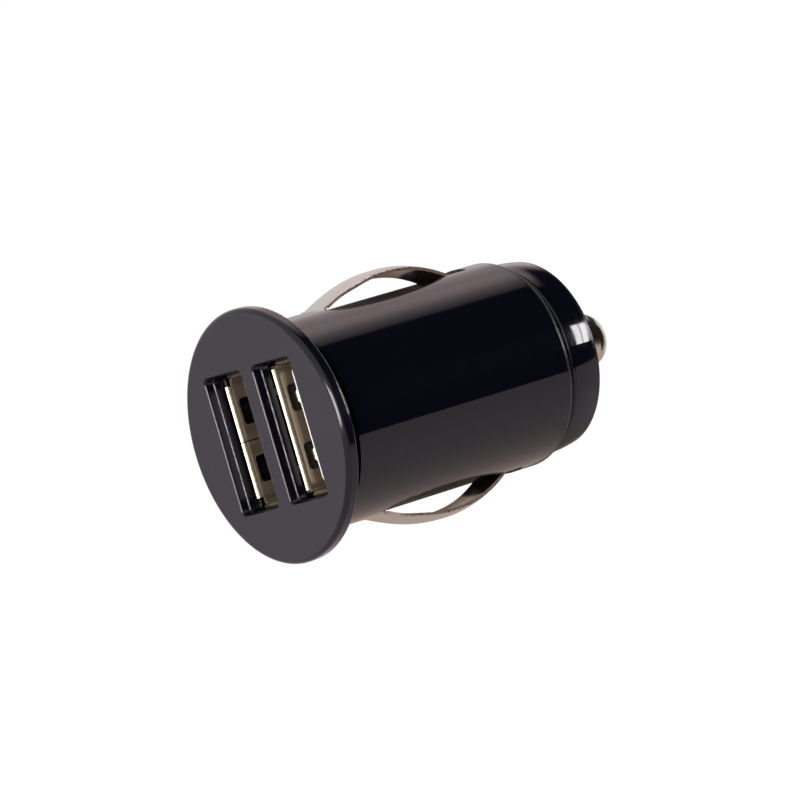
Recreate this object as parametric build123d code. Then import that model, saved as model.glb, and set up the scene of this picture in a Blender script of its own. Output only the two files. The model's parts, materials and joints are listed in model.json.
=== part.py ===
from build123d import *
import math
import os

os.makedirs("parts", exist_ok=True)

# A plug that turns a vehicle's round power socket into two charging ports. Sizes are in millimetres.
# +Y runs into the socket, -Y is the face with the ports, +Z is up; y = 0 is the seat behind the flange.

# Face plate
flange_overhang = 2.23
flange_thickness = 1.4
flange_front_round = 0.5
flange_back_round = 0.25
collar_length = 1.55
face_thickness = 1.9
skirt_length = 2.05
skirt_wall = 0.9
board_rest_width = 1.2
board_rest_height = 6.0

# Barrel
barrel_wall = 0.9
barrel_end_round = 0.55
groove_width = 0.45
groove_depth = 0.6
joint_line_width = 0.15
joint_line_depth = 0.2
slot_width = 5.2
slot_front = 7.2
slot_length = 18.45
slot_end_wall = 3.22
slot_front_corner = 0.6
slot_rear_corner = 0.4

# Nose cap
nose_crown_rise = 0.27
nose_crown_curve = 15.0
nose_crown_setback = 0.83
nose_length = 3.74
nose_gap = 0.4
nose_neck_depth = 0.5
nose_front_round = 0.45
nose_end_round = 0.15
nose_wall = 1.2
nose_side_wall = 1.3
spigot_length = 2.65
sleeve_wall = 0.8
sleeve_length = 4.35

# Centre tip and its coil spring
tip_radius = 2.75
tip_reach = 7.75
tip_sheet = 0.35
tip_dome_round = 1.7
tip_rim_radius = 4.2
tip_hole_gap = 0.2
tip_rim_side_gap = 0.25
tip_rim_end_gap = 0.05
coil_wire = 0.5
coil_radius = 3.1
coil_turns = 5
coil_end_gap = 0.1
seat_sheet = 0.4
seat_radius = 3.9
seat_rim = 0.6
seat_rim_wall = 0.35

# Ground springs: bowed strips that stand out of the slots
strip_width = 4.7
strip_root_width = 4.2
strip_sheet = 0.3
strip_flat_width = 1.0
strip_edge_drop = 0.5
strip_root_drop = 0.1
strip_tail_drop = 0.15
strip_spread_share = 0.5
bow_front_stations = (1.0, 0.85, 0.7, 0.5, 0.25)
bow_rear_stations = (0.0, 0.3, 0.6, 1.0)
crest_setback = 9.55
crest_stand = 2.2
root_gap = 1.15
root_stand = 1.02
bow_rear_radius = 13.0
bow_tail_angle = 38.0
tail_length = 1.0
foot_front = 4.0
foot_wall_gap = 0.36
foot_rise_angle = 72.0
foot_lead = 0.3
foot_bend = 0.3

# Ports in the face plate
port_pitch = 8.39
port_side_gap = 0.59
port_end_gap = 0.65
port_corner = 0.6
port_edge_round = 0.2
port_step_depth = 1.0
port_step_in = 0.1

# Connectors behind the ports
shell_width = 5.12
shell_height = 12.5
shell_sheet = 0.3
shell_corner = 0.6
shell_bore_gap = 0.121
shell_length = 13.0
shell_face_gap = 0.1
shell_side_gap = 0.28
lip_bend = 1.0
lip_angle = 45.0
seam_lip_length = 11.2
board_lip_length = 12.0
end_lip_length = 4.2
seam_width = 0.12
window_setback = 0.9
window_length = 5.2
window_height = 2.65
window_offset = 2.9
window_corner = 0.4
leaf_width = 1.4
leaf_sheet = 0.25
seam_leaf_setback = 1.6
board_leaf_setback = 0.8
leaf_tip_round = 0.6
leaf_push = 0.35
leaf_hook = 0.8
shell_leg_length = 1.5
shell_leg_width = 0.8
shell_leg_setback = 8.0
shell_leg_height = 5.6
tongue_sheet = 1.84
tongue_width = 11.1
tongue_wall_gap = 0.7
tongue_setback = 1.3
tongue_chamfer = 0.3
block_setback = 8.8
block_end_gap = 0.2
block_gap = 0.04
contact_width = 1.0
contact_sheet = 0.2
contact_setback = 0.7
contact_heights = (-3.5, -1.0, 1.0, 3.5)
contact_tail_width = 0.6
contact_tail_sheet = 0.25
contact_tail_gap = 0.1
contact_slot_gap = 0.02

# Circuit board
board_sheet = 1.6
board_overhang = 0.05
board_front_gap = 0.05
parts_gap = 0.75
parts_depth = 6.9
board_tongue_width = 7.0
board_tongue_length = 2.4
board_tenon_width = 2.4
tenon_gap = 0.05

# Tabs from the board to the ground springs
tab_sheet = 0.25
tab_width = 0.8
tab_front = 3.8
tab_reach = 1.2
tab_overlap = 1.3
tab_foot_gap = 0.2

# Parts on the board
inductor_radius = 3.2
inductor_height = 5.0
inductor_flange = 0.8
inductor_core_radius = 1.7
winding_radius = 2.85
winding_gap = 0.03
inductor_z = -3.1
chip_length = 4.9
chip_width = 3.9
chip_height = 1.5
chip_stand = 0.15
chip_lead_reach = 1.05
chip_lead_width = 0.42
chip_lead_sheet = 0.2
chip_lead_pitch = 1.27
chip_leads_a_side = 4
chip_z = 3.5
input_can_radius = 3.15
input_can_height = 5.0
input_can_z = -3.1
output_can_radius = 2.5
output_can_height = 5.0
output_can_z = 3.3
can_groove_depth = 0.25
can_groove_width = 0.6
can_groove_height = 0.9
can_top_round = 0.4
diode_width = 2.6
diode_length = 4.3
diode_height = 2.2
diode_edge = 0.25
diode_lead_sheet = 0.2
diode_lead_width = 1.5
diode_foot = 0.9
diode_end_gap = 0.15
diode_z = 0.0
end_cap_length = 0.4
end_cap_step = 0.04
fuse_width = 1.6
fuse_length = 3.2
fuse_height = 0.8
fuse_end_gap = 0.3
fuse_z = -1.7
resistor_width = 0.8
resistor_length = 1.6
resistor_height = 0.45
resistor_end_gap = 0.9
resistor_heights = (1.0, 2.4)
capacitor_width = 1.25
capacitor_length = 2.0
capacitor_height = 0.9
capacitor_can_gap = 0.175
capacitor_heights = (1.6, 4.2)

# Places that several pieces share
fit_gap = 0.05
same_place = 0.01
shell_side = port_pitch / 2 + shell_width / 2 + shell_sheet - shell_corner
shell_top = shell_height / 2 + shell_sheet - shell_corner
bore_radius = math.hypot(shell_side, shell_top) + shell_corner + shell_bore_gap
barrel_radius = bore_radius + barrel_wall
flange_radius = barrel_radius + flange_overhang
nose_radius = bore_radius + nose_crown_rise
port_width = shell_width + 2 * port_side_gap
port_height = shell_height + 2 * port_end_gap
face_front = -flange_thickness
face_rear = face_front + face_thickness
barrel_front = collar_length + groove_width
barrel_end = slot_front + slot_length + slot_end_wall
nose_front = barrel_end + nose_gap
nose_end = nose_front + nose_length
nose_inside = nose_end - nose_wall
tip_rim_rear = nose_inside - tip_rim_end_gap - tip_sheet
shell_front = face_rear + shell_face_gap
shell_rear = shell_front + shell_length
parts_front = shell_rear + contact_tail_gap + contact_tail_sheet + parts_gap
board_face = board_sheet / 2
board_width = shell_height + 2 * board_overhang
board_front = barrel_front
board_end = parts_front + parts_depth
board_tongue_end = board_end + board_tongue_length
board_seat = board_tongue_end + seat_sheet
inductor_y = parts_front + inductor_radius
chip_y = parts_front + chip_lead_reach + chip_width / 2
input_can_y = parts_front + input_can_radius
output_can_y = parts_front + output_can_radius
capacitor_y = output_can_y + output_can_radius + capacitor_can_gap + capacitor_width / 2
diode_y = board_tongue_end - diode_end_gap - diode_width / 2
fuse_y = board_tongue_end - fuse_end_gap - fuse_width / 2
resistor_y = board_tongue_end - resistor_end_gap - resistor_length / 2
foot_z = math.sqrt(bore_radius ** 2 - (strip_root_width / 2) ** 2) - foot_wall_gap - strip_sheet / 2
crest_y = slot_front + slot_length - crest_setback
crest_radius = barrel_radius + crest_stand
bow_length = crest_y - slot_front - root_gap
bow_rise = crest_radius - bore_radius - root_stand
bow_root_angle = 2 * math.degrees(math.atan(bow_rise / bow_length))
bow_front_radius = bow_length / math.sin(math.radians(bow_root_angle))


def block(x0, x1, y0, y1, z0, z1):
    centre = Pos((x0 + x1) / 2, (y0 + y1) / 2, (z0 + z1) / 2)
    return centre * Box(abs(x1 - x0), abs(y1 - y0), abs(z1 - z0))


def disc(radius, y0, y1):
    return Pos(0, (y0 + y1) / 2, 0) * Rot(90, 0, 0) * Cylinder(radius, y1 - y0)


def ring(outer, inner, y0, y1):
    return disc(outer, y0, y1) - disc(inner, y0, y1)


def rounded_bar(x, width, height, corner, y0, y1):
    plane = Plane(origin=(x, y0, 0), x_dir=(1, 0, 0), z_dir=(0, 1, 0))
    return extrude(plane * RectangleRounded(width, height, corner), amount=y1 - y0)


def edges_at(shape, y, radius):
    rims = shape.edges().filter_by(GeomType.CIRCLE)
    level = [rim for rim in rims if abs(rim.center().Y - y) < same_place]
    return [rim for rim in level if abs(rim.radius - radius) < same_place]


def export(shape, name):
    export_step(shape, f"parts/{name}.step")


def make_face_plate():
    flange = disc(flange_radius, face_front, 0)
    flange = fillet(edges_at(flange, face_front, flange_radius), flange_front_round)
    flange = fillet(edges_at(flange, 0, flange_radius), flange_back_round)
    skirt_outer = bore_radius - fit_gap
    skirt_inner = skirt_outer - skirt_wall
    skirt_end = collar_length + skirt_length
    wall = ring(barrel_radius, skirt_inner, face_rear, collar_length)
    wall += ring(skirt_outer, skirt_inner, collar_length, skirt_end)
    clear_width = shell_width + 2 * (shell_sheet + shell_side_gap)
    clear_height = shell_height + 2 * (shell_sheet + shell_side_gap)
    for side in (-1, 1):
        x = side * port_pitch / 2
        wall -= rounded_bar(x, clear_width, clear_height, shell_corner, face_rear, skirt_end)
    body = flange + disc(barrel_radius, 0, face_rear) + wall
    rest_end = board_front - board_front_gap
    half_width = board_rest_width / 2
    half_height = board_rest_height / 2
    body += block(-half_width, half_width, face_rear, rest_end, -half_height, half_height)
    for side in (-1, 1):
        x = side * port_pitch / 2
        step = face_front + port_step_depth
        mouth = rounded_bar(x, port_width, port_height, port_corner, face_front, step)
        throat_width = port_width - 2 * port_step_in
        throat_height = port_height - 2 * port_step_in
        throat = rounded_bar(x, throat_width, throat_height, port_corner, step, face_rear)
        body = body - mouth - throat
    front = body.faces().sort_by(Axis.Y)[0]
    for wire in front.inner_wires():
        body = fillet([e for e in body.edges() if e in wire.edges()], port_edge_round)
    return body


def slot_cutter(side):
    half = slot_width / 2
    rear = slot_front + slot_length
    base = Pos(0, slot_front + slot_length / 2) * Rectangle(slot_width, slot_length)
    front_corners = [v for v in base.vertices() if v.Y < slot_front + half]
    base = fillet(front_corners, slot_front_corner)
    rear_corners = [v for v in base.vertices() if v.Y > rear - same_place]
    base = fillet(rear_corners, slot_rear_corner)
    prism = extrude(base, amount=barrel_radius)
    if side > 0:
        return prism
    return mirror(prism, about=Plane.XY)


def make_barrel():
    body = disc(barrel_radius, barrel_front, barrel_end)
    body = fillet(edges_at(body, barrel_end, barrel_radius), barrel_end_round)
    body += disc(barrel_radius - groove_depth, collar_length, barrel_front)
    body -= disc(bore_radius, collar_length, barrel_end)
    half_line = joint_line_width / 2
    line_floor = barrel_radius - joint_line_depth
    for side in (-1, 1):
        body -= slot_cutter(side)
        body -= block(-half_line, half_line, barrel_front, barrel_end, side * line_floor, side * barrel_radius)
    return body


def nose_crown():
    apex = nose_front + nose_crown_setback
    centre = nose_radius - nose_crown_curve

    def rim(y):
        return centre + math.sqrt(nose_crown_curve ** 2 - (y - apex) ** 2)

    start = (rim(nose_front), nose_front)
    end = (rim(nose_end), nose_end)
    outline = ThreePointArc(start, (nose_radius, apex), end)
    outline += Polyline(end, (0, nose_end), (0, nose_front), start)
    crown = revolve(make_face(outline), axis=Axis.Y)
    crown = fillet(edges_at(crown, nose_front, start[0]), nose_front_round)
    return fillet(edges_at(crown, nose_end, end[0]), nose_end_round)


def make_nose_cap():
    spigot_radius = bore_radius - fit_gap
    spigot_front = barrel_end - spigot_length
    body = nose_crown() + disc(spigot_radius - nose_neck_depth, barrel_end, nose_front)
    body += disc(spigot_radius, spigot_front, barrel_end)
    body -= disc(nose_radius - nose_side_wall, spigot_front, nose_inside)
    sleeve_inner = tip_rim_radius + tip_rim_side_gap
    body += ring(sleeve_inner + sleeve_wall, sleeve_inner, nose_inside - sleeve_length, nose_inside)
    body -= disc(tip_radius + tip_hole_gap, nose_inside, nose_end)
    return body


def make_centre_tip():
    tip_end = nose_end + tip_reach
    cup = disc(tip_radius, tip_rim_rear, tip_end)
    cup = fillet(edges_at(cup, tip_end, tip_radius), tip_dome_round)
    hollow = disc(tip_radius - tip_sheet, tip_rim_rear, tip_end - tip_sheet)
    hollow_end = tip_end - tip_sheet
    hollow = fillet(edges_at(hollow, hollow_end, tip_radius - tip_sheet), tip_dome_round - tip_sheet)
    rim = disc(tip_rim_radius, tip_rim_rear, tip_rim_rear + tip_sheet)
    return cup + rim - hollow


def make_tip_spring():
    low = board_seat + coil_end_gap + coil_wire / 2
    high = tip_rim_rear - coil_end_gap - coil_wire / 2
    height = high - low
    path = Helix(pitch=height / coil_turns, height=height, radius=coil_radius)
    start = Plane(origin=path @ 0, z_dir=path % 0)
    coil = sweep(start * Circle(coil_wire / 2), path=path, is_frenet=True)
    return Pos(0, low, 0) * Rot(-90, 0, 0) * coil


def make_tip_contact():
    seat = disc(seat_radius, board_tongue_end, board_seat)
    seat += ring(seat_radius, seat_radius - seat_rim_wall, board_seat, board_seat + seat_rim)
    half_x = board_face + tenon_gap
    half_z = board_tenon_width / 2 + tenon_gap
    return seat - block(-half_x, half_x, board_tongue_end, board_seat, -half_z, half_z)


def strip_section(y, z, angle, half_width, drop):
    tangent = (0, math.cos(math.radians(angle)), math.sin(math.radians(angle)))
    plane = Plane(origin=(0, y, z), x_dir=(1, 0, 0), z_dir=tangent)
    flat = strip_flat_width / 2
    reach = half_width - flat
    turn = 2 * math.atan(drop / reach)
    outer = reach / math.sin(turn)
    inner = outer - strip_sheet

    def at(radius, share, way):
        return (way * (flat + radius * math.sin(turn * share)), outer - radius * math.cos(turn * share))

    outline = [
        Line((-flat, 0), (flat, 0)),
        ThreePointArc((flat, 0), at(outer, 0.5, 1), at(outer, 1, 1)),
        Line(at(outer, 1, 1), at(inner, 1, 1)),
        ThreePointArc(at(inner, 1, 1), at(inner, 0.5, 1), (flat, strip_sheet)),
        Line((flat, strip_sheet), (-flat, strip_sheet)),
        ThreePointArc((-flat, strip_sheet), at(inner, 0.5, -1), at(inner, 1, -1)),
        Line(at(inner, 1, -1), at(outer, 1, -1)),
        ThreePointArc(at(outer, 1, -1), at(outer, 0.5, -1), (-flat, 0)),
    ]
    return Face(Wire([plane.from_local_coords(edge) for edge in outline]))


def make_ground_spring():
    sections = []
    root = math.radians(bow_root_angle)
    for share in bow_front_stations:
        turn = root * share
        y = crest_y - bow_front_radius * math.sin(turn)
        z = crest_radius - bow_front_radius * (1 - math.cos(turn))
        spread = min(1.0, (1 - share) / strip_spread_share)
        half_width = (strip_root_width + (strip_width - strip_root_width) * spread) / 2
        drop = strip_root_drop + (strip_edge_drop - strip_root_drop) * spread
        sections.append(strip_section(y, z, math.degrees(turn), half_width, drop))
    tail = math.radians(bow_tail_angle)
    for share in bow_rear_stations:
        turn = tail * share
        y = crest_y + bow_rear_radius * math.sin(turn)
        z = crest_radius - bow_rear_radius * (1 - math.cos(turn))
        drop = strip_edge_drop + (strip_tail_drop - strip_edge_drop) * share
        sections.append(strip_section(y, z, -math.degrees(turn), strip_width / 2, drop))
    y += tail_length * math.cos(tail)
    z -= tail_length * math.sin(tail)
    sections.append(strip_section(y, z, -bow_tail_angle, strip_width / 2, strip_tail_drop))
    return loft(sections) + make_strip_foot()


def make_strip_foot():
    root = math.radians(bow_root_angle)
    rise = math.radians(foot_rise_angle)
    root_y = crest_y - (bow_front_radius - strip_sheet / 2) * math.sin(root)
    root_z = crest_radius - bow_front_radius + (bow_front_radius - strip_sheet / 2) * math.cos(root)
    lead_y = root_y - foot_lead * math.cos(root)
    lead_z = root_z - foot_lead * math.sin(root)
    bend_y = lead_y - (lead_z - foot_z) / math.tan(rise)
    corners = [(foot_front, foot_z), (bend_y, foot_z), (lead_y, lead_z), (root_y, root_z)]
    ribbon = trace(FilletPolyline(*corners, radius=foot_bend), line_width=strip_sheet)
    return extrude(Plane.YZ * ribbon, amount=strip_root_width / 2, both=True)


def make_usb_shell(side):
    x = side * port_pitch / 2
    half_width = shell_width / 2
    half_height = shell_height / 2
    lip_depth = lip_bend * math.sin(math.radians(lip_angle))
    tube_front = shell_front + lip_depth
    outer_width = shell_width + 2 * shell_sheet
    outer_height = shell_height + 2 * shell_sheet
    inner_corner = shell_corner - shell_sheet
    body = rounded_bar(x, outer_width, outer_height, shell_corner, tube_front, shell_rear)
    body -= rounded_bar(x, shell_width, shell_height, inner_corner, tube_front, shell_rear)
    for wall in (-1, 1):
        long_lip = seam_lip_length if wall == side else board_lip_length
        leaf_setback = seam_leaf_setback if wall == side else board_leaf_setback
        body += Pos(x + wall * half_width, 0, 0) * make_lip(long_lip, wall)
        body += Pos(x, 0, wall * half_height) * Rot(0, -90, 0) * make_lip(end_lip_length, wall)
        for z in (-window_offset, window_offset):
            body -= Pos(x + wall * half_width, 0, z) * window_cutter()
            body += Pos(x + wall * half_width, 0, z) * make_leaf(wall, leaf_setback)
    seam_near = x + side * (half_width - leaf_push)
    seam_far = x + side * (half_width + lip_bend)
    body -= block(seam_near, seam_far, face_rear, shell_rear, -seam_width / 2, seam_width / 2)
    leg_x = side * (port_pitch / 2 - half_width - shell_sheet)
    for z in (-shell_leg_height, shell_leg_height):
        leg_front = shell_front + shell_leg_setback
        body += block(side * board_face, leg_x, leg_front, leg_front + shell_leg_length,
                      z - shell_leg_width / 2, z + shell_leg_width / 2)
    return body


def make_lip(length, wall):
    turn = math.radians(lip_angle)
    root_y = shell_front + lip_bend * math.sin(turn)
    small = lip_bend - shell_sheet
    inner_mid = (lip_bend - lip_bend * math.cos(turn / 2), root_y - lip_bend * math.sin(turn / 2))
    inner_end = (lip_bend - lip_bend * math.cos(turn), root_y - lip_bend * math.sin(turn))
    outer_mid = (lip_bend - small * math.cos(turn / 2), root_y - small * math.sin(turn / 2))
    outer_end = (lip_bend - small * math.cos(turn), root_y - small * math.sin(turn))
    outline = ThreePointArc((0, root_y), inner_mid, inner_end)
    outline += Line(inner_end, outer_end)
    outline += ThreePointArc(outer_end, outer_mid, (shell_sheet, root_y))
    outline += Line((shell_sheet, root_y), (0, root_y))
    lip = extrude(make_face(outline), amount=length / 2, both=True)
    if wall > 0:
        return lip
    return mirror(lip, about=Plane.YZ)


def window_cutter():
    front = shell_front + window_setback
    plane = Plane(origin=(0, front + window_length / 2, 0), x_dir=(0, 1, 0), z_dir=(1, 0, 0))
    outline = plane * RectangleRounded(window_length, window_height, window_corner)
    return extrude(outline, amount=lip_bend, both=True)


def make_leaf(wall, setback):
    front = shell_front + window_setback
    rear = front + window_length
    mid = shell_sheet / 2
    tip = front + setback
    corners = [(mid, rear + mid), (mid, rear - leaf_hook), (-leaf_push, tip + leaf_hook), (0, tip)]
    ribbon = trace(Polyline(*corners), line_width=leaf_sheet)
    leaf = extrude(ribbon, amount=leaf_width / 2, both=True)
    plan_front = tip - leaf_sheet / 2
    plan_rear = rear + shell_sheet + leaf_tip_round
    plane = Plane(origin=(0, (plan_front + plan_rear) / 2, 0), x_dir=(0, 1, 0), z_dir=(1, 0, 0))
    plan = plane * RectangleRounded(plan_rear - plan_front, leaf_width, leaf_tip_round)
    leaf &= extrude(plan, amount=lip_bend, both=True)
    if wall > 0:
        return leaf
    return mirror(leaf, about=Plane.YZ)


def contact_strips(side, gap):
    tongue_face = side * (port_pitch / 2 - shell_width / 2 + tongue_wall_gap + tongue_sheet)
    strip_top = tongue_face + side * (contact_sheet + gap)
    front = shell_front + tongue_setback + contact_setback
    rear = shell_rear + contact_tail_gap + contact_tail_sheet
    strips = []
    for z in contact_heights:
        half = contact_width / 2 + gap
        strips.append(block(tongue_face, strip_top, front, rear, z - half, z + half))
    return strips, strip_top, rear


def make_usb_insulator(side):
    x = side * port_pitch / 2
    board_wall = side * (port_pitch / 2 - shell_width / 2)
    tongue_near = board_wall + side * tongue_wall_gap
    tongue_far = tongue_near + side * tongue_sheet
    tongue_front = shell_front + tongue_setback
    block_front = shell_front + block_setback
    half = tongue_width / 2
    tongue = block(tongue_near, tongue_far, tongue_front, block_front, -half, half)
    tongue = chamfer(tongue.faces().sort_by(Axis.Y)[0].edges(), tongue_chamfer)
    block_width = shell_width - 2 * block_gap
    block_height = shell_height - 2 * block_gap
    block_rear = shell_rear - block_end_gap
    body = rounded_bar(x, block_width, block_height, shell_corner - shell_sheet, block_front, block_rear)
    body += tongue
    for strip in contact_strips(side, contact_slot_gap)[0]:
        body -= strip
    return body


def make_usb_contacts(side):
    strips, top, rear = contact_strips(side, 0)
    contacts = []
    for strip, z in zip(strips, contact_heights):
        half = contact_tail_width / 2
        tail = block(side * board_face, top, rear - contact_tail_sheet, rear, z - half, z + half)
        contacts.append(strip + tail)
    return Compound(children=contacts)


def make_circuit_board():
    half = board_width / 2
    tongue = board_tongue_width / 2
    tenon = board_tenon_width / 2
    body = block(-board_face, board_face, board_front, board_end, -half, half)
    body += block(-board_face, board_face, board_end, board_tongue_end, -tongue, tongue)
    body += block(-board_face, board_face, board_tongue_end, board_seat, -tenon, tenon)
    return body


def make_ground_tab(side):
    top = foot_z - strip_sheet / 2 - tab_foot_gap
    low = board_width / 2 - tab_overlap
    leg = block(board_face, board_face + tab_sheet, tab_front, tab_front + tab_width, low, top)
    arm = block(-tab_reach, board_face + tab_sheet, tab_front, tab_front + tab_width, top - tab_sheet, top)
    tab = leg + arm
    if side > 0:
        return tab
    return mirror(tab, about=Plane.XY)


def on_board(shape, side, y, z):
    return Pos(side * board_face, y, z) * Rot(0, 90 * side, 0) * shape


def upright(radius, low, high):
    return Pos(0, 0, (low + high) / 2) * Cylinder(radius, high - low)


def make_inductor_core():
    core = upright(inductor_core_radius, 0, inductor_height)
    core += upright(inductor_radius, 0, inductor_flange)
    core += upright(inductor_radius, inductor_height - inductor_flange, inductor_height)
    return on_board(core, 1, inductor_y, inductor_z)


def make_inductor_winding():
    low = inductor_flange + winding_gap
    high = inductor_height - inductor_flange - winding_gap
    winding = upright(winding_radius, low, high) - upright(inductor_core_radius + winding_gap, low, high)
    return on_board(winding, 1, inductor_y, inductor_z)


def make_converter_chip():
    chip = Pos(0, 0, chip_stand + chip_height / 2) * Box(chip_length, chip_width, chip_height)
    shoulder = chip_stand + chip_height / 2
    for way in (-1, 1):
        for lead in range(chip_leads_a_side):
            x = (lead - (chip_leads_a_side - 1) / 2) * chip_lead_pitch
            end = way * (chip_width / 2 + chip_lead_reach)
            knee = way * (chip_width / 2 + chip_lead_reach / 2)
            half = chip_lead_width / 2
            arm_low = shoulder - chip_lead_sheet
            leg_near = knee - way * chip_lead_sheet
            chip += block(x - half, x + half, way * chip_width / 2, knee, arm_low, shoulder)
            chip += block(x - half, x + half, leg_near, knee, 0, shoulder)
            chip += block(x - half, x + half, leg_near, end, 0, chip_lead_sheet)
    return on_board(chip, 1, chip_y, chip_z)


def make_can(radius, height):
    can = upright(radius, 0, height)
    can = fillet(can.edges().filter_by(GeomType.CIRCLE).sort_by(Axis.Z)[-1], can_top_round)
    groove = upright(radius, can_groove_height, can_groove_height + can_groove_width)
    groove -= upright(radius - can_groove_depth, can_groove_height, can_groove_height + can_groove_width)
    return can - groove


def make_diode():
    half_length = diode_length / 2 - diode_lead_sheet
    half_lead = diode_lead_width / 2
    middle = diode_lead_sheet + (diode_height - diode_lead_sheet) / 2
    body = Pos(0, 0, middle) * Box(2 * half_length, diode_width, diode_height - diode_lead_sheet)
    body = chamfer(body.faces().sort_by(Axis.Z)[-1].edges(), diode_edge)
    for way in (-1, 1):
        inner = way * half_length
        outer = way * diode_length / 2
        foot = inner - way * diode_foot
        body += block(inner, outer, -half_lead, half_lead, 0, middle)
        body += block(foot, inner, -half_lead, half_lead, 0, diode_lead_sheet)
    return body


def make_chip(length, width, height):
    body = Pos(0, 0, height / 2) * Box(length, width - 2 * end_cap_step, height - 2 * end_cap_step)
    for way in (-1, 1):
        x = way * (length - end_cap_length) / 2
        body += Pos(x, 0, height / 2) * Box(end_cap_length, width, height)
    return body


def chip_group(chip, side, y, heights):
    return Compound(children=[on_board(chip, side, y, z) for z in heights])


spring = make_ground_spring()
export(make_face_plate(), "face_plate")
export(make_barrel(), "barrel_housing")
export(make_nose_cap(), "nose_cap")
export(make_centre_tip(), "centre_tip")
export(make_tip_spring(), "tip_spring")
export(make_tip_contact(), "tip_contact")
export(spring, "ground_spring_upper")
export(mirror(spring, about=Plane.XY), "ground_spring_lower")
for side, name in ((-1, "left"), (1, "right")):
    export(make_usb_shell(side), f"usb_shell_{name}")
    export(make_usb_insulator(side), f"usb_insulator_{name}")
    export(make_usb_contacts(side), f"usb_contacts_{name}")
for side, name in ((1, "upper"), (-1, "lower")):
    export(make_ground_tab(side), f"ground_tab_{name}")
export(make_circuit_board(), "circuit_board")
export(make_inductor_core(), "inductor_core")
export(make_inductor_winding(), "inductor_winding")
export(make_converter_chip(), "converter_chip")
input_can = make_can(input_can_radius, input_can_height)
export(on_board(input_can, -1, input_can_y, input_can_z), "input_capacitor")
output_can = make_can(output_can_radius, output_can_height)
export(on_board(output_can, -1, output_can_y, output_can_z), "output_capacitor")
export(on_board(make_diode(), -1, diode_y, diode_z), "schottky_diode")
fuse = make_chip(fuse_length, fuse_width, fuse_height)
export(on_board(fuse, 1, fuse_y, fuse_z), "input_fuse")
resistor = Rot(0, 0, 90) * make_chip(resistor_length, resistor_width, resistor_height)
export(chip_group(resistor, 1, resistor_y, resistor_heights), "chip_resistors")
capacitor = make_chip(capacitor_length, capacitor_width, capacitor_height)
export(chip_group(capacitor, -1, capacitor_y, capacitor_heights), "chip_capacitors")
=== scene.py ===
import json
import math

import bpy
from mathutils import Matrix, Vector


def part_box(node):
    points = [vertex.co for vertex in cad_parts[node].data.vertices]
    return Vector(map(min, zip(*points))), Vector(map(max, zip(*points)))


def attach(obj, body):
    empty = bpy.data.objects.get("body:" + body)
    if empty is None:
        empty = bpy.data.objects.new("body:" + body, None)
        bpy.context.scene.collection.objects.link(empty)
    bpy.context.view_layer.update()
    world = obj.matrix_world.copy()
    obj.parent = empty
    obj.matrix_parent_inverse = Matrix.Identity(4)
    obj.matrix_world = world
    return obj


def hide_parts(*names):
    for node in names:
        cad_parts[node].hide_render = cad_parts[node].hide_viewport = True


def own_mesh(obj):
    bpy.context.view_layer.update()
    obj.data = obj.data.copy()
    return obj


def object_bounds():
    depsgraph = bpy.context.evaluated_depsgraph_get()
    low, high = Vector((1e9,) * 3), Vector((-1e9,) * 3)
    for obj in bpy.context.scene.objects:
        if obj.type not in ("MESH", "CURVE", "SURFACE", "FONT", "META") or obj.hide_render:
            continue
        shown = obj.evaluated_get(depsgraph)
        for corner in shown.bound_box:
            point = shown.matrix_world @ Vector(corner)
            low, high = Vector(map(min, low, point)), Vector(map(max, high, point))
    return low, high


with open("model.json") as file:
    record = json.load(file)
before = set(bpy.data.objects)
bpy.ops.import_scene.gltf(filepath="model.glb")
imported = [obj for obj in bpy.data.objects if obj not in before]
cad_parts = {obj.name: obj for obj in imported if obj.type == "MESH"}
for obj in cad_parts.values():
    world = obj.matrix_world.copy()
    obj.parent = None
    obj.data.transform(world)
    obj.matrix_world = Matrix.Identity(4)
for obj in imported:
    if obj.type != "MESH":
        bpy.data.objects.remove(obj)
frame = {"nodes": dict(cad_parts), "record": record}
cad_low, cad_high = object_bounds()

# The frame is in metres; the looks and the studio are measured in millimetres.
MM = 0.001

# Camera: at the front right, nearly level with the plug's axis, and rolled
VIEW_AZIMUTH = 53.784
VIEW_ELEVATION = 0.917
VIEW_ROLL = -16.254
VIEW_DISTANCE = 501.6
VIEW_AIM = (0.0, 13.6, 0.0)
VIEW_RIGHT = 1.33
VIEW_UP = 0.06
LENS = 231.86
SENSOR = 36.0

# Studio: a white room and floor
ROOM_LIGHT = (1.02, 1.02, 1.02)
FLOOR_LIGHT = (1.03, 1.03, 1.03)
FLOOR_HALF = 4000.0

# A panel curved round the plug's axis, seen only in reflections. Its stops give an angle in degrees, from +X
# up and over to -X, and the light there: hardly any beside the plug, most overhead, less on the far side.
PANEL_RADIUS = 700.0
PANEL_NEAR = 60.0
PANEL_FAR = 1250.0
PANEL_STEPS = 48
PANEL_TINT = (1.0, 0.82, 0.83)
PANEL_FAR_TINT = (1.0, 0.91, 0.9)
PANEL_FAR_ANGLE = 145
PANEL_DARK = (0.02, 0.02, 0.045)
PANEL_STOPS = (
    (-27, 0), (80.5, 0), (83.5, 0.42), (87, 0.66), (95, 1.14), (103, 1.72), (111, 1.68), (119, 1.27),
    (127, 1.15), (137, 1.05), (150, 1.2), (164, 0.68), (180.5, 0.58),
)

# The panel's light ends over this range of y, but only on the near side of this range of angles.
PANEL_LIT_END = (550.0, 640.0)
PANEL_LIT_SIDE = (118.0, 142.0)

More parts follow.
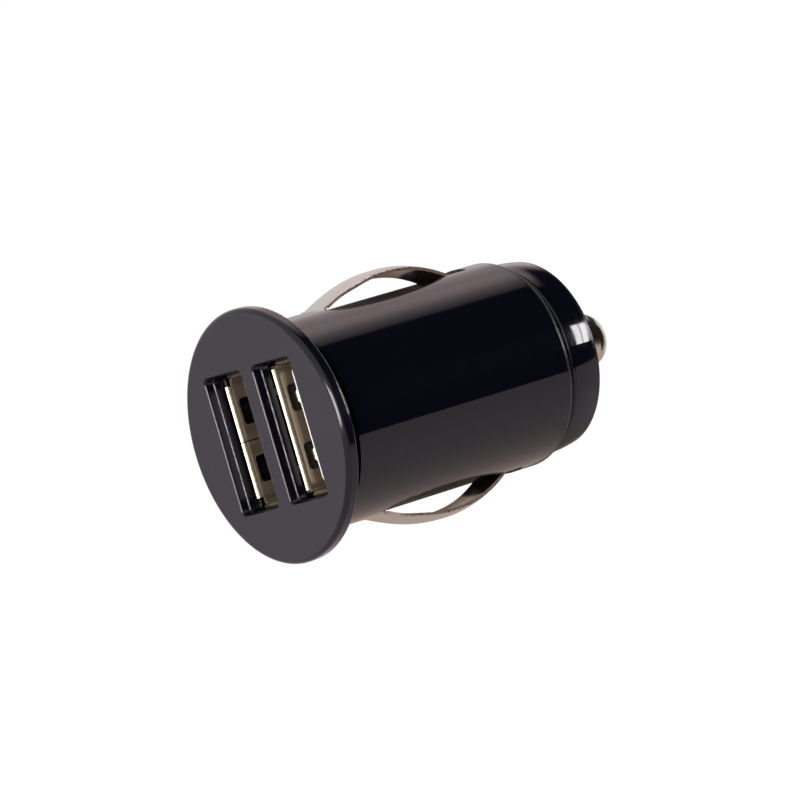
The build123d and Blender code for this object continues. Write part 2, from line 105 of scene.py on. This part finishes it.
# Mats on the floor, seen only in reflections: x range, y range, height over the floor and light.
# A fade is the range of x over which a mat's light turns into the warm mat's.
WARM_LIGHT = (0.92, 0.79, 0.85)
WARM_MAT = ((-1500.0, 1500.0), (-1500.0, 1900.0), 0.05, WARM_LIGHT)
DARK_MAT = ((30.5, 1500.0), (8.0, 1250.0), 0.4, (0.01, 0.01, 0.03))
# Painted shade: the shade and nose mats are dimmer, browner sheets standing in for the floor's shade under
# and behind the plug.
SHADE_MAT = ((-40.0, 20.0), (3.0, 60.0), 0.1, (0.66, 0.5, 0.41))
SHADE_FADE = (-10.0, 19.0)
NOSE_SHADE_MAT = ((-30.0, 20.0), (31.5, 41.0), 0.15, (0.24, 0.19, 0.185))
NOSE_SHADE_FADE = (-1.0, 11.5)

# Bright cards: corners as azimuth from +Y towards +X and elevation, the place that they are seen from, their
# distance and light; panes are shares of a card's width. The flag is a dark card just past the tip.
WINDOW_CORNERS = ((46.4, 16.7), (30.9, 14.4), (36.6, -1.5), (49.3, -4.6))
WINDOW_FROM = (9.7, 31.2, 0.9)
WINDOW_DISTANCE = 600.0
WINDOW_PANES = ((0.0, 0.46), (0.54, 1.0))
WINDOW_LIGHT = (26.0, 25.4, 26.0)
LAMP_CORNERS = ((126.0, 16.0), (172.0, 16.0), (172.0, -4.8), (126.0, -4.8))
LAMP_FROM = (0.0, 0.0, 0.0)
LAMP_DISTANCE = 140.0
LAMP_LIGHT = (20.0, 19.4, 20.0)
FLAG_CORNERS = ((14.0, 47.0, 8.0), (3.2, 44.0, 8.0), (3.2, 44.0, -6.0), (14.0, 47.0, -6.0))
FLAG_LIGHT = (0.03, 0.02, 0.015)

# Wear and edges of the black mouldings; a haze is a range of roughness.
GLOSS_ROUGHNESS = 0.06
GLOSS_IOR = 1.375
HOUSING_HAZE = (0.045, 0.06)
NOSE_HAZE = (0.075, 0.115)
EDGE_HAZE = 0.32
DUST_ROUGHNESS = 0.6
BARREL_END_ROUND = 0.7
BARREL_RUB_BLEND = 0.1
NOSE_END_ROUND = 0.7

# Face plate: the front is what faces -Y within this range of the normal's y and of the depth.
FACE_IOR = 1.38
FACE_ROUGHNESS = 0.4
FACE_RIM_ROUGHNESS = 0.13
FACE_NORMAL = (-0.93, -0.995)
FACE_SKIN = (0.12, 0.04)
FACE_EDGE_ROUND = 0.17
# The painted highlight on the ledges beside the ports reaches this far from the axis in z, with this blend.
LEDGE_HALF_HEIGHT = 6.4
LEDGE_BLEND = 0.5

# Ground springs: sheared edges, and the range of y over which painted shade darkens the inner face
SPRING_EDGE = (0.32, 0.05)
SPRING_SHEAR_NORMAL = (0.6, 0.9)
SPRING_PAINTED_SHADE_RANGE = (20.4, 21.0)
SPRING_INNER_METALLIC = 0.4
SPRING_PIT_ROUGHNESS = 0.6

# Tip: lathe rings, in radians per millimetre
LATHE_RINGS = 40.0

# Where the leaf springs of the port shells end in rolled tips
PORT_MIDDLE = 4.195
LEAF_HEIGHT = 2.9
LEAF_HALF_WIDTH = 0.7
LEAF_SIDE_BLEND = (0.5, 0.1)
BOARD_LEAF_TIP = 2.3
SEAM_LEAF_SETBACK = 0.8
LEAF_ROLL_LENGTH = 0.8
LEAF_ROLL = 0.42
SHELL_STREAK_DEPTH = 0.0006

# Parts inside: spread of the drawn metals' roughness, wire turns in radians per millimetre, tracks and leads
DRAWN_SPREAD = (-0.06, 0.08)
WIRE_TURNS = 21.0
TRACKS_PER_MM = 0.55
TRACK_WIDTH = 0.05
BOARD_CUT = (0.02, 0.06)
CHIP_LEAD_REACH = 1.05
LEAD_ROUGHNESS = 0.3

# Most of a noise lies between these values.
NOISE_LOW = 0.3
NOISE_HIGH = 0.7


def linear(red, green, blue):
    """A colour given as 0 to 255 screen values, in the light's own scale."""
    shares = [value / 255 for value in (red, green, blue)]
    return [s / 12.92 if s <= 0.04045 else ((s + 0.055) / 1.055) ** 2.4 for s in shares]


# Colours; tones are a surface's darker and lighter colour
BLACK = (0.0, 0.0, 0.0)
GLOSS_BLACK = linear(5, 5, 10)
SATIN_GREY = linear(23, 21, 27)
SATIN_TONES = (linear(21, 19, 25), linear(25, 23, 29))
DUST_GREY = linear(120, 116, 118)
# Painted highlight on the ledges beside the ports
LEDGE_PAINTED_HIGHLIGHT = linear(150, 147, 155)
WHITE = linear(196, 194, 188)
WHITE_TONES = (linear(188, 186, 179), linear(204, 202, 197))
STEEL = linear(180, 177, 173)
STEEL_TONES = (linear(170, 170, 165), linear(195, 196, 191))
# The springs' inner face: a painted warm reflection, and painted shade towards its rear end
STEEL_INSIDE_PAINTED_LIGHT = linear(205, 186, 160)
STEEL_INSIDE_PAINTED_SHADE = linear(30, 26, 22)
STEEL_SHEARED = linear(106, 90, 80)
STEEL_PIT = linear(70, 52, 42)
NICKEL = linear(185, 184, 170)
NICKEL_TONES = (linear(174, 171, 154), linear(196, 196, 186))
SHELL = linear(143, 132, 113)
SHELL_TONES = (linear(137, 125, 105), linear(149, 138, 120))
COIL_TONES = (linear(160, 158, 156), linear(198, 197, 195))
SEAT_TONES = (linear(186, 150, 84), linear(220, 190, 122))
CONTACT_TONES = (linear(206, 160, 78), linear(236, 200, 118))
CAN_TONES = (linear(186, 187, 189), linear(222, 223, 225))
WIRE = linear(176, 92, 48)
WIRE_TONES = (linear(104, 46, 22), linear(196, 110, 60))
BOARD = linear(30, 31, 29)
BOARD_TONES = (linear(26, 27, 25), linear(44, 42, 36))
BARE_LAMINATE = linear(120, 104, 70)
PACKAGE = linear(32, 32, 34)
PACKAGE_TONES = (linear(26, 26, 28), linear(40, 40, 43))
TIN = linear(196, 194, 188)
FERRITE = linear(58, 58, 61)
FERRITE_TONES = (linear(44, 44, 46), linear(74, 74, 78))
FUSE_TONES = (linear(206, 200, 182), linear(232, 228, 214))
CHIP_TONES = (linear(122, 96, 70), linear(156, 128, 98))


class NodeTree:
    """A new material, with helpers that add nodes to it and give back their outputs."""

    def __init__(self, name):
        self.material = bpy.data.materials.new(name)
        self.material.use_nodes = True
        self.nodes = self.material.node_tree.nodes
        self.links = self.material.node_tree.links

    def put(self, socket, value):
        """Sets a socket to a number or a colour, or links an output to it."""
        if isinstance(value, bpy.types.NodeSocket):
            self.links.new(value, socket)
        else:
            socket.default_value = value

    def math(self, operation, first, second=0.0):
        node = self.nodes.new("ShaderNodeMath")
        node.operation = operation
        self.put(node.inputs[0], first)
        self.put(node.inputs[1], second)
        return node.outputs[0]

    def axis(self, vector, name):
        node = self.nodes.new("ShaderNodeSeparateXYZ")
        self.links.new(vector, node.inputs[0])
        return node.outputs[name]

    def ramp(self, value, start, end, low=0.0, high=1.0, interpolation="SMOOTHSTEP"):
        """Runs from low to high as the value runs from start to end, and stays there beyond them."""
        node = self.nodes.new("ShaderNodeMapRange")
        node.clamp = True
        node.interpolation_type = interpolation
        self.put(node.inputs["Value"], value)
        node.inputs["From Min"].default_value = start
        node.inputs["From Max"].default_value = end
        node.inputs["To Min"].default_value = low
        node.inputs["To Max"].default_value = high
        return node.outputs["Result"]

    def mix(self, share, first, second):
        """The first colour, turning into the second as the share grows from 0 to 1."""
        node = self.nodes.new("ShaderNodeMix")
        node.data_type = "RGBA"
        self.put(node.inputs["Factor"], share)
        for socket, colour in ((node.inputs["A"], first), (node.inputs["B"], second)):
            self.put(socket, colour if isinstance(colour, bpy.types.NodeSocket) else (*colour, 1.0))
        return node.outputs["Result"]


class Surface(NodeTree):
    """A Principled material whose textures are measured in millimetres."""

    def __init__(self, name, colour, roughness, metallic=0.0):
        super().__init__(name)
        self.shader = self.nodes["Principled BSDF"]
        self.set("Base Color", (*colour, 1.0))
        self.set("Roughness", roughness)
        self.set("Metallic", metallic)
        source = self.nodes.new("ShaderNodeTexCoord")
        scaled = self.nodes.new("ShaderNodeVectorMath")
        scaled.operation = "SCALE"
        scaled.inputs["Scale"].default_value = 1 / MM
        self.links.new(source.outputs["Object"], scaled.inputs[0])
        self.place = scaled.outputs[0]
        self.normal = source.outputs["Normal"]

    def set(self, socket, value):
        self.shader.inputs[socket].default_value = value

    def feed(self, socket, output):
        self.links.new(output, self.shader.inputs[socket])

    def along(self, name):
        """The place along an axis."""
        return self.axis(self.place, name)

    def off(self, name):
        """The distance along an axis to either side of the plug's axis."""
        return self.math("ABSOLUTE", self.along(name))

    def stretched(self, x, y, z):
        node = self.nodes.new("ShaderNodeVectorMath")
        node.operation = "MULTIPLY"
        self.links.new(self.place, node.inputs[0])
        node.inputs[1].default_value = (x, y, z)
        return node.outputs[0]

    def noise(self, scale, detail=2.0, vector=None):
        node = self.nodes.new("ShaderNodeTexNoise")
        node.inputs["Scale"].default_value = scale
        node.inputs["Detail"].default_value = detail
        self.links.new(vector or self.place, node.inputs["Vector"])
        return node.outputs["Fac"]

    def vary(self, noise, low, high):
        """A number that follows a noise from low to high."""
        return self.ramp(noise, NOISE_LOW, NOISE_HIGH, low, high)

    def blend(self, share, first, second):
        """The first number, turning into the second as the share grows from 0 to 1."""
        node = self.nodes.new("ShaderNodeMix")
        node.data_type = "FLOAT"
        self.put(node.inputs["Factor"], share)
        self.put(node.inputs["A"], first)
        self.put(node.inputs["B"], second)
        return node.outputs["Result"]

    def bump(self, height, depth, edge_round=0.0):
        """Raises the surface by up to depth millimetres where height is 1, over edges softened by a small
        radius."""
        node = self.nodes.new("ShaderNodeBump")
        node.inputs["Distance"].default_value = depth * MM
        self.links.new(height, node.inputs["Height"])
        if edge_round:
            soft = self.nodes.new("ShaderNodeBevel")
            soft.inputs["Radius"].default_value = edge_round * MM
            self.links.new(soft.outputs["Normal"], node.inputs["Normal"])
        self.feed("Normal", node.outputs["Normal"])

    def specks(self, per_mm, radius, share):
        """1 inside small scattered spots, which fill only a share of the cells."""
        node = self.nodes.new("ShaderNodeTexVoronoi")
        node.inputs["Scale"].default_value = per_mm
        self.links.new(self.place, node.inputs["Vector"])
        reach = radius * per_mm
        spot = self.ramp(node.outputs["Distance"], reach, reach / 2)
        chance = self.axis(node.outputs["Color"], "X")
        kept = self.math("LESS_THAN", chance, share)
        return self.math("MULTIPLY", spot, kept)


# Plastics

def gloss_plastic(name, haze, rub_from, rub_full):
    """Polished black moulding: slow waves from the tool, faint haze, a few specks of dust and a rubbed rear
    edge."""
    surface = Surface(name, GLOSS_BLACK, GLOSS_ROUGHNESS)
    surface.set("IOR", GLOSS_IOR)
    dust = surface.specks(per_mm=0.55, radius=0.05, share=0.12)
    surface.feed("Base Color", surface.mix(dust, GLOSS_BLACK, DUST_GREY))
    clouds = surface.ramp(surface.noise(scale=0.9, detail=3.0), 0.35, 0.75, *haze)
    rubbed = surface.ramp(surface.along("Y"), rub_from, rub_full)
    rough = surface.blend(rubbed, clouds, EDGE_HAZE)
    surface.feed("Roughness", surface.blend(dust, rough, DUST_ROUGHNESS))
    surface.bump(surface.noise(scale=0.16, detail=1.0), depth=0.02)
    return surface.material


def housing_plastic(name):
    end_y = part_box("barrel_housing")[1].y / MM
    rub_from = end_y - BARREL_END_ROUND
    return gloss_plastic(name, HOUSING_HAZE, rub_from, rub_from + BARREL_RUB_BLEND)


def nose_plastic(name):
    end_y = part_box("nose_cap")[1].y / MM
    return gloss_plastic(name, NOSE_HAZE, end_y - NOSE_END_ROUND, end_y)


def face_plastic(name):
    """The face plate: fine satin grain on its flat front, polished on its rim, collar and port walls, with a
    painted highlight on the ledges beside the ports."""
    face_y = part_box("face_plate")[0].y / MM
    surface = Surface(name, SATIN_GREY, FACE_ROUGHNESS)
    surface.set("IOR", FACE_IOR)
    facing = surface.ramp(surface.axis(surface.normal, "Y"), *FACE_NORMAL)
    front = surface.ramp(surface.along("Y"), *(face_y + depth for depth in FACE_SKIN))
    satin = surface.math("MULTIPLY", facing, front)
    behind = surface.math("SUBTRACT", facing, satin)
    # Painted highlight: a lighter grey on the ledges beside the ports, standing in for the lamp caught by
    # their edges.
    upright = surface.ramp(surface.off("Z"), LEDGE_HALF_HEIGHT, LEDGE_HALF_HEIGHT - LEDGE_BLEND)
    highlight_patches = surface.ramp(surface.noise(scale=1.7, detail=3.0), 0.38, 0.66, low=0.2, high=0.95)
    ledge_highlight = surface.math("MULTIPLY", behind, surface.math("MULTIPLY", upright, highlight_patches))
    dust = surface.specks(per_mm=0.7, radius=0.05, share=0.15)
    cloud = surface.mix(surface.noise(scale=0.35, detail=3.0), *SATIN_TONES)
    polished = surface.mix(dust, GLOSS_BLACK, DUST_GREY)
    surface.feed("Base Color", surface.mix(ledge_highlight, surface.mix(satin, polished, cloud), LEDGE_PAINTED_HIGHLIGHT))
    grain = surface.noise(scale=9.0, detail=3.0)
    rough = surface.vary(grain, low=0.36, high=0.46)
    surface.feed("Roughness", surface.blend(facing, FACE_RIM_ROUGHNESS, rough))
    surface.bump(surface.math("MULTIPLY", grain, satin), depth=0.006, edge_round=FACE_EDGE_ROUND)
    return surface.material


def white_plastic(name):
    surface = Surface(name, WHITE, roughness=0.35)
    surface.feed("Base Color", surface.mix(surface.noise(scale=0.8, detail=3.0), *WHITE_TONES))
    surface.feed("Roughness", surface.vary(surface.noise(scale=3.0), low=0.3, high=0.42))
    surface.bump(surface.noise(scale=6.0), depth=0.004)
    return surface.material


# Metals

def spring_steel(name):
    """Rolled strip: long fine brush lines and brown sheared edges with dark pits. Its dull inner face is
    painted with warm reflected light, and with painted shade towards its rear end."""
    surface = Surface(name, STEEL, roughness=0.4, metallic=1.0)
    lines = surface.noise(scale=1.0, detail=3.0, vector=surface.stretched(11.0, 0.35, 0.35))
    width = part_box("ground_spring_upper")[1].x / MM
    edge = surface.ramp(surface.off("X"), *(width - inset for inset in SPRING_EDGE))
    pits = surface.ramp(surface.noise(scale=4.5, detail=3.0), 0.52, 0.64)
    worn = surface.math("MULTIPLY", edge, pits)
    outward = surface.math("MULTIPLY", surface.along("Z"), surface.axis(surface.normal, "Z"))
    inner = surface.math("LESS_THAN", outward, 0.0)
    # Painted light and shade: the inner face is lighter and warm where it would reflect light, and dark
    # towards its rear end where it lies in shade.
    painted_shade = surface.ramp(surface.along("Y"), *SPRING_PAINTED_SHADE_RANGE)
    inner_painted_tone = surface.mix(painted_shade, STEEL_INSIDE_PAINTED_LIGHT, STEEL_INSIDE_PAINTED_SHADE)
    tone = surface.mix(inner, surface.mix(lines, *STEEL_TONES), inner_painted_tone)
    sideways = surface.math("ABSOLUTE", surface.axis(surface.normal, "X"))
    tone = surface.mix(surface.ramp(sideways, *SPRING_SHEAR_NORMAL), tone, STEEL_SHEARED)
    surface.feed("Base Color", surface.mix(worn, tone, STEEL_PIT))
    surface.feed("Metallic", surface.blend(inner, 1.0, SPRING_INNER_METALLIC))
    rough = surface.vary(lines, low=0.34, high=0.46)
    surface.feed("Roughness", surface.blend(worn, rough, SPRING_PIT_ROUGHNESS))
    surface.bump(lines, depth=0.004)
    return surface.material


def bright_nickel(name):
    """Turned and plated tip: fine lathe rings along its side and round its dome."""
    surface = Surface(name, NICKEL, roughness=0.16, metallic=1.0)
    x = surface.along("X")
    z = surface.along("Z")
    squares = surface.math("ADD", surface.math("MULTIPLY", x, x), surface.math("MULTIPLY", z, z))
    reach = surface.math("ADD", surface.math("SQRT", squares), surface.along("Y"))
    rings = surface.math("SINE", surface.math("MULTIPLY", reach, LATHE_RINGS))
    stain = surface.noise(scale=1.4, detail=4.0)
    surface.feed("Base Color", surface.mix(stain, *NICKEL_TONES))
    surface.feed("Roughness", surface.vary(stain, low=0.16, high=0.26))
    surface.bump(rings, depth=0.0006)
    return surface.material


def rolled_tips(surface):
    """Height in millimetres of the roll across the tips of the leaf springs."""
    on_seam = surface.math("GREATER_THAN", surface.off("X"), PORT_MIDDLE)
    setback = surface.math("MULTIPLY", on_seam, SEAM_LEAF_SETBACK)
    along = surface.math("SUBTRACT", surface.along("Y"), setback)
    off_leaf = surface.math("ABSOLUTE", surface.math("SUBTRACT", surface.off("Z"), LEAF_HEIGHT))
    on_leaf = surface.ramp(off_leaf, *(LEAF_HALF_WIDTH + reach for reach in LEAF_SIDE_BLEND))
    roll = surface.ramp(along, BOARD_LEAF_TIP, BOARD_LEAF_TIP + LEAF_ROLL_LENGTH, high=LEAF_ROLL)
    return surface.math("MULTIPLY", on_leaf, roll)


def shell_metal(name):
    """Plated sheet of the port shells, faintly streaked where it was rolled and folded."""
    surface = Surface(name, SHELL, roughness=0.23, metallic=0.88)
    streaks = surface.noise(scale=1.0, detail=3.0, vector=surface.stretched(0.5, 0.4, 7.0))
    surface.feed("Base Color", surface.mix(streaks, *SHELL_TONES))
    surface.feed("Roughness", surface.vary(streaks, low=0.19, high=0.27))
    grain = surface.math("MULTIPLY", streaks, SHELL_STREAK_DEPTH)
    surface.bump(surface.math("ADD", grain, rolled_tips(surface)), depth=1.0)
    return surface.material


def drawn_metal(name, tones, roughness):
    """Plain metal with a mottled tone and a fine drawn grain."""
    surface = Surface(name, tones[1], roughness, metallic=1.0)
    mottle = surface.noise(scale=2.5, detail=3.0)
    surface.feed("Base Color", surface.mix(mottle, *tones))
    surface.feed("Roughness", surface.vary(mottle, *(roughness + part for part in DRAWN_SPREAD)))
    surface.bump(surface.noise(scale=9.0), depth=0.002)
    return surface.material


def coil_steel(name):
    return drawn_metal(name, COIL_TONES, roughness=0.3)


def seat_brass(name):
    return drawn_metal(name, SEAT_TONES, roughness=0.28)


def contact_brass(name):
    return drawn_metal(name, CONTACT_TONES, roughness=0.22)


def can_aluminium(name):
    return drawn_metal(name, CAN_TONES, roughness=0.3)


def winding_wire(name):
    """Enamelled copper wire laid in close turns round the core."""
    surface = Surface(name, WIRE, roughness=0.25, metallic=0.9)
    turns = surface.math("SINE", surface.math("MULTIPLY", surface.along("X"), WIRE_TURNS))
    surface.feed("Base Color", surface.mix(surface.ramp(turns, -1, 1), *WIRE_TONES))
    surface.feed("Roughness", surface.vary(surface.noise(scale=3.0), low=0.2, high=0.34))
    surface.bump(turns, depth=0.05)
    return surface.material


# Board and the parts on it

def copper_tracks(surface):
    """1 on the tracks of the board, which run along and across its faces."""
    tracks = surface.nodes.new("ShaderNodeTexBrick")
    tracks.inputs["Scale"].default_value = TRACKS_PER_MM
    tracks.inputs["Mortar Size"].default_value = TRACK_WIDTH
    for socket, share in (("Color1", 0), ("Color2", 0), ("Mortar", 1)):
        tracks.inputs[socket].default_value = (share, share, share, 1)
    turned = surface.nodes.new("ShaderNodeVectorRotate")
    turned.rotation_type = "Y_AXIS"
    turned.inputs["Angle"].default_value = math.pi / 2
    surface.links.new(surface.place, turned.inputs["Vector"])
    surface.links.new(turned.outputs["Vector"], tracks.inputs["Vector"])
    return surface.axis(tracks.outputs["Color"], "X")


def board_laminate(name):
    """Black solder mask over copper tracks, with bare laminate on the cut edges."""
    surface = Surface(name, BOARD, roughness=0.35)
    copper = copper_tracks(surface)
    mask = surface.mix(copper, *BOARD_TONES)
    half_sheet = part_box("circuit_board")[1].x / MM
    cut = surface.ramp(surface.off("X"), *(half_sheet - inset for inset in BOARD_CUT))
    surface.feed("Base Color", surface.mix(cut, mask, BARE_LAMINATE))
    surface.feed("Roughness", surface.vary(surface.noise(scale=2.0), low=0.28, high=0.42))
    surface.bump(copper, depth=0.02)
    return surface.material


def chip_plastic(name):
    """Moulded black packages: plastic above the board, tinned metal where the leads stand clear of the chip's
    body."""
    surface = Surface(name, PACKAGE, roughness=0.5)
    low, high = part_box("converter_chip")
    middle = (low.y + high.y) / 2 / MM
    body_half = (high.y - low.y) / 2 / MM - CHIP_LEAD_REACH
    from_middle = surface.math("ABSOLUTE", surface.math("SUBTRACT", surface.along("Y"), middle))
    outside = surface.math("GREATER_THAN", from_middle, body_half)
    on_right = surface.math("GREATER_THAN", surface.along("X"), 0.0)
    lead = surface.math("MULTIPLY", outside, on_right)
    grain = surface.noise(scale=7.0, detail=3.0)
    surface.feed("Base Color", surface.mix(lead, surface.mix(grain, *PACKAGE_TONES), TIN))
    surface.feed("Metallic", lead)
    rough = surface.vary(grain, low=0.45, high=0.6)
    surface.feed("Roughness", surface.blend(lead, rough, LEAD_ROUGHNESS))
    surface.bump(grain, depth=0.008)
    return surface.material


def ferrite(name):
    surface = Surface(name, FERRITE, roughness=0.6)
    grain = surface.noise(scale=8.0, detail=4.0)
    surface.feed("Base Color", surface.mix(grain, *FERRITE_TONES))
    surface.feed("Roughness", surface.vary(grain, low=0.5, high=0.7))
    surface.bump(grain, depth=0.02)
    return surface.material


def ceramic(name, tones):
    """Fired chip body with a fine speckle."""
    surface = Surface(name, tones[1], roughness=0.4)
    grain = surface.noise(scale=6.0, detail=3.0)
    surface.feed("Base Color", surface.mix(grain, *tones))
    surface.feed("Roughness", surface.vary(grain, low=0.32, high=0.48))
    surface.bump(grain, depth=0.006)
    return surface.material


def fuse_ceramic(name):
    return ceramic(name, FUSE_TONES)


def chip_ceramic(name):
    return ceramic(name, CHIP_TONES)


FINISHES = {
    "face_plastic": face_plastic,
    "housing_plastic": housing_plastic,
    "nose_plastic": nose_plastic,
    "tip_metal": bright_nickel,
    "coil_steel": coil_steel,
    "seat_brass": seat_brass,
    "spring_steel": spring_steel,
    "shell_metal": shell_metal,
    "white_plastic": white_plastic,
    "contact_brass": contact_brass,
    "board_laminate": board_laminate,
    "chip_plastic": chip_plastic,
    "ferrite": ferrite,
    "winding_wire": winding_wire,
    "can_aluminium": can_aluminium,
    "fuse_ceramic": fuse_ceramic,
    "chip_ceramic": chip_ceramic,
}


def dress_nodes():
    """Gives each solid the finish of its material slot."""
    finishes = {slot: make("look_" + slot) for slot, make in FINISHES.items()}
    for part in frame["record"]["subparts"]:
        node = frame["nodes"][part["node"]]
        node.data.materials.clear()
        node.data.materials.append(finishes[part["material_slot"]])


def add_coil():
    """A copy of the coil, in place of the part, on the charger's body."""
    node = frame["nodes"]["tip_spring"]
    coil = bpy.data.objects.new("tip_coil", node.data.copy())
    bpy.context.scene.collection.objects.link(coil)
    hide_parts("tip_spring")
    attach(coil, "charger")
    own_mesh(coil)


# Studio

class Light(NodeTree):
    """A plain light whose colour is its radiance."""

    def __init__(self, name, colour):
        super().__init__(name)
        self.nodes.remove(self.nodes["Principled BSDF"])
        glow = self.nodes.new("ShaderNodeEmission")
        self.colour = glow.inputs["Color"]
        self.colour.default_value = (*colour, 1.0)
        self.links.new(glow.outputs[0], self.nodes["Material Output"].inputs["Surface"])

    def place(self, name):
        """The place along an axis, in metres."""
        geometry = self.nodes.new("ShaderNodeNewGeometry")
        return self.axis(geometry.outputs["Position"], name)


def stage_mesh(name, corners, faces, light, seen):
    mesh = bpy.data.meshes.new(name)
    mesh.from_pydata([Vector(corner) * MM for corner in corners], [], faces)
    mesh.materials.append(light.material)
    thing = bpy.data.objects.new(name, mesh)
    bpy.context.scene.collection.objects.link(thing)
    thing.visible_camera = seen


def add_level(name, across, along, height, light, seen):
    """A level rectangle at a height over the floor."""
    z = cad_low.z / MM + height
    near, far = along
    left, right = across
    corners = [(left, near, z), (right, near, z), (right, far, z), (left, far, z)]
    stage_mesh(name, corners, [(0, 1, 2, 3)], light, seen)


def add_floor():
    reach = (-FLOOR_HALF, FLOOR_HALF)
    add_level("floor", reach, reach, 0.0, Light("studio_floor", FLOOR_LIGHT), True)


def add_mat(name, across, along, height, colour, fade=None):
    """A mat of one light, or one that fades into the warm mat over a range of x."""
    light = Light(name, colour)
    if fade:
        share = light.ramp(light.place("X"), *(x * MM for x in fade))
        light.put(light.colour, light.mix(share, colour, WARM_LIGHT))
    add_level(name, across, along, height, light, False)


def angle_colours(light, share):
    """The colours of the panel's stops, by the share of the way from the first stop to the last."""
    first, last = PANEL_STOPS[0][0], PANEL_STOPS[-1][0]
    ramp = light.nodes.new("ShaderNodeValToRGB")
    stops = ramp.color_ramp.elements
    while len(stops) < len(PANEL_STOPS):
        stops.new(0.5)
    for stop, (at, radiance) in zip(stops, PANEL_STOPS):
        stop.position = (at - first) / (last - first)
        tints = PANEL_TINT if at < PANEL_FAR_ANGLE else PANEL_FAR_TINT
        stop.color = (*(tint * radiance for tint in tints), 1.0)
    light.links.new(share, ramp.inputs["Fac"])
    return ramp.outputs["Color"]


def panel_light():
    """A light that follows the angle round the plug's axis and ends behind the plug on the near side."""
    light = Light("side_panel", PANEL_DARK)
    angle = light.math("ARCTAN2", light.place("Z"), light.place("X"))
    first, last = (math.radians(PANEL_STOPS[end][0]) for end in (0, -1))
    share = light.ramp(angle, first, last, interpolation="LINEAR")
    past_end = light.ramp(light.place("Y"), *(y * MM for y in PANEL_LIT_END))
    on_near_side = light.ramp(angle, *(math.radians(side) for side in reversed(PANEL_LIT_SIDE)))
    unlit = light.math("MULTIPLY", past_end, on_near_side)
    total = light.nodes.new("ShaderNodeVectorMath")
    total.operation = "ADD"
    light.links.new(light.mix(unlit, angle_colours(light, share), BLACK), total.inputs[0])
    total.inputs[1].default_value = PANEL_DARK
    light.put(light.colour, total.outputs[0])
    return light


def add_side_panel():
    first, last = PANEL_STOPS[0][0], PANEL_STOPS[-1][0]
    corners = []
    faces = []
    for step in range(PANEL_STEPS + 1):
        turn = math.radians(first + (last - first) * step / PANEL_STEPS)
        x = PANEL_RADIUS * math.cos(turn)
        z = PANEL_RADIUS * math.sin(turn)
        corners += [(x, PANEL_NEAR, z), (x, PANEL_FAR, z)]
        if step:
            faces.append((2 * step - 2, 2 * step - 1, 2 * step + 1, 2 * step))
    stage_mesh("side_panel", corners, faces, panel_light(), False)


def seen_at(azimuth, elevation):
    """The direction at an azimuth from +Y towards +X and an elevation, both in degrees."""
    level = math.cos(math.radians(elevation))
    x = math.sin(math.radians(azimuth)) * level
    y = math.cos(math.radians(azimuth)) * level
    return Vector((x, y, math.sin(math.radians(elevation))))


def add_card(name, corners, origin, distance, colour, panes=((0.0, 1.0),)):
    """A bright card in upright panes, with corners that are seen from the origin in the given directions."""
    places = [Vector(origin) + seen_at(*corner) * distance for corner in corners]
    top_left, top_right, low_right, low_left = places
    pane_corners = []
    faces = []
    for pane, sides in enumerate(panes):
        for share in sides:
            pane_corners += [top_left.lerp(top_right, share), low_left.lerp(low_right, share)]
        faces.append(tuple(4 * pane + corner for corner in (0, 2, 3, 1)))
    stage_mesh(name, pane_corners, faces, Light(name, colour), False)


def add_flag():
    """A dark flag that keeps the window out of the tip's reflections."""
    stage_mesh("flag", FLAG_CORNERS, [(0, 1, 2, 3)], Light("flag", FLAG_LIGHT), False)


def add_room():
    world = bpy.data.worlds.new("room")
    world.use_nodes = True
    sky = world.node_tree.nodes["Background"]
    sky.inputs["Color"].default_value = (*ROOM_LIGHT, 1.0)
    sky.inputs["Strength"].default_value = 1.0
    bpy.context.scene.world = world


def add_camera():
    azimuth = math.radians(VIEW_AZIMUTH)
    elevation = math.radians(VIEW_ELEVATION)
    roll = math.radians(VIEW_ROLL)
    level = math.cos(elevation)
    back = Vector((math.sin(azimuth) * level, -math.cos(azimuth) * level, math.sin(elevation)))
    flat_right = Vector((math.cos(azimuth), math.sin(azimuth), 0))
    flat_up = back.cross(flat_right)
    right = flat_right * math.cos(roll) + flat_up * math.sin(roll)
    up = flat_up * math.cos(roll) - flat_right * math.sin(roll)
    place = Vector(VIEW_AIM) + right * VIEW_RIGHT + up * VIEW_UP + back * VIEW_DISTANCE
    data = bpy.data.cameras.new("camera")
    data.lens = LENS
    data.sensor_width = SENSOR
    camera = bpy.data.objects.new("camera", data)
    turn = Matrix((right, up, back)).transposed().to_4x4()
    camera.matrix_world = Matrix.Translation(place * MM) @ turn
    bpy.context.scene.collection.objects.link(camera)
    bpy.context.scene.camera = camera


dress_nodes()
add_coil()
add_room()
add_floor()
add_side_panel()
add_mat("warm_mat", *WARM_MAT)
add_mat("dark_mat", *DARK_MAT)
# Painted shade of the floor next to the plug, seen only in reflections
add_mat("shade_mat", *SHADE_MAT, SHADE_FADE)
add_mat("nose_shade_mat", *NOSE_SHADE_MAT, NOSE_SHADE_FADE)
add_card("window", WINDOW_CORNERS, WINDOW_FROM, WINDOW_DISTANCE, WINDOW_LIGHT, WINDOW_PANES)
add_card("front_lamp", LAMP_CORNERS, LAMP_FROM, LAMP_DISTANCE, LAMP_LIGHT)
add_flag()
add_camera()
bpy.context.scene.view_settings.view_transform = "Standard"
